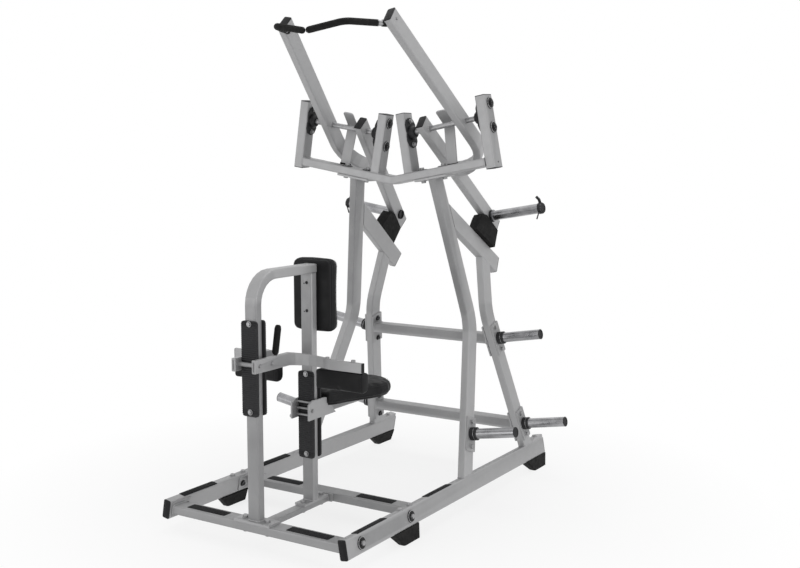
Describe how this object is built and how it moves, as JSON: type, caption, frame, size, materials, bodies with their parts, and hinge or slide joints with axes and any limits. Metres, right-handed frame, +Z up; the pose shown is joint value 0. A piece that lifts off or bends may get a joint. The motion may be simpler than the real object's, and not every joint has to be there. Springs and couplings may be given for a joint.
{
  "type": "plate-loaded lat pulldown machine",
  "caption": "Free-standing pulldown frame with two independent plate-loaded swinging arms, sliding seat, chest pad and thigh hold-down.",
  "frame": {"origin": "on the floor, in the middle of the machine's width and length", "axes": "+X to the machine's right hand side, +Y backwards from the posts to the weight arms, +Z up"},
  "size_m": [1.4284, 1.889, 2.2971],
  "materials": {
    "frame_paint": "silver grey powder coat",
    "black_plastic": "matt black",
    "black_rubber": "matt black",
    "black_vinyl": "black upholstery vinyl",
    "zinc_steel": "bright zinc",
    "bright_chrome": "polished"
  },
  "bodies": {
    "frame": {"centre_beam": "frame_paint", "chest_pad": "black_vinyl", "crown_frame": "frame_paint", "front_crossmember": "frame_paint", "inner_front_ratchet": "black_plastic", "inner_post": "frame_paint", "inner_rear_ratchet": "black_plastic", "left_arm_bumper": "black_rubber", "left_floor_rail": "frame_paint", "left_front_foot": "black_rubber", "left_front_leg": "frame_paint", "left_front_storage_horn": "bright_chrome", "left_gusset_arm": "frame_paint", "left_inboard_bearing": "black_plastic", "left_lower_storage_horn": "bright_chrome", "left_outboard_bearing": "black_plastic", "left_rear_foot": "black_rubber", "left_rear_leg": "frame_paint", "left_stop_bracket": "frame_paint", "left_upper_storage_horn": "bright_chrome", "lower_crossbar": "frame_paint", "middle_crossmember": "frame_paint", "outer_front_ratchet": "black_plastic", "outer_post": "frame_paint", "outer_rear_ratchet": "black_plastic", "right_arm_bumper": "black_rubber", "right_floor_rail": "frame_paint", "right_front_foot": "black_rubber", "right_front_leg": "frame_paint", "right_front_storage_horn": "bright_chrome", "right_gusset_arm": "frame_paint", "right_inboard_bearing": "black_plastic", "right_lower_storage_horn": "bright_chrome", "right_outboard_bearing": "black_plastic", "right_rear_foot": "black_rubber", "right_rear_leg": "frame_paint", "right_stop_bracket": "frame_paint", "right_upper_storage_horn": "bright_chrome", "upper_crossbar": "frame_paint"},
    "right_arm": {"right_pivot_shaft": "zinc_steel", "right_weight_arm": "frame_paint", "right_handle_arm": "frame_paint", "right_weight_horn": "bright_chrome", "right_pull_handle": "zinc_steel", "right_hand_grip": "black_rubber"},
    "right_lock": {"right_lock_collar": "black_plastic"},
    "left_arm": {"left_pivot_shaft": "zinc_steel", "left_weight_arm": "frame_paint", "left_handle_arm": "frame_paint", "left_weight_horn": "bright_chrome", "left_pull_handle": "zinc_steel", "left_hand_grip": "black_rubber"},
    "left_lock": {"left_lock_collar": "black_plastic"},
    "seat": {"seat_carriage": "frame_paint", "seat_cushion": "black_vinyl"},
    "thigh_hold_down": {"thigh_arms": "frame_paint", "right_thigh_pad": "black_vinyl", "left_thigh_pad": "black_vinyl"},
    "thigh_latch": {"thigh_lever": "black_rubber"}
  },
  "joints": [
    {"name": "right_arm_swing", "type": "hinge", "parent": "frame", "child": "right_arm", "pos_m": [0.18687, 0.2105, 1.78578], "axis": [0.9845, -0.0436, 0.17], "range_deg": [0, 70]},
    {"name": "right_lock_slide", "type": "slide", "parent": "right_arm", "child": "right_lock", "axis": [0.9845, -0.0436, 0.17], "range_m": [-0.235, 0]},
    {"name": "left_arm_swing", "type": "hinge", "parent": "frame", "child": "left_arm", "pos_m": [-0.18687, 0.2105, 1.78578], "axis": [0.9845, 0.0436, -0.17], "range_deg": [0, 70]},
    {"name": "left_lock_slide", "type": "slide", "parent": "left_arm", "child": "left_lock", "axis": [-0.9845, -0.0436, 0.17], "range_m": [-0.235, 0]},
    {"name": "seat_height", "type": "slide", "parent": "frame", "child": "seat", "axis": [0, 0, 1], "range_m": [-0.15, 0.09]},
    {"name": "thigh_height", "type": "slide", "parent": "frame", "child": "thigh_hold_down", "axis": [0, 0, 1], "range_m": [-0.04, 0.14]},
    {"name": "thigh_latch_tilt", "type": "hinge", "parent": "thigh_hold_down", "child": "thigh_latch", "pos_m": [0.053, -0.8045, 0.8448], "axis": [1, 0, 0], "range_deg": [-18, 0], "stiffness_Nm_per_rad": 0.5}
  ]
}
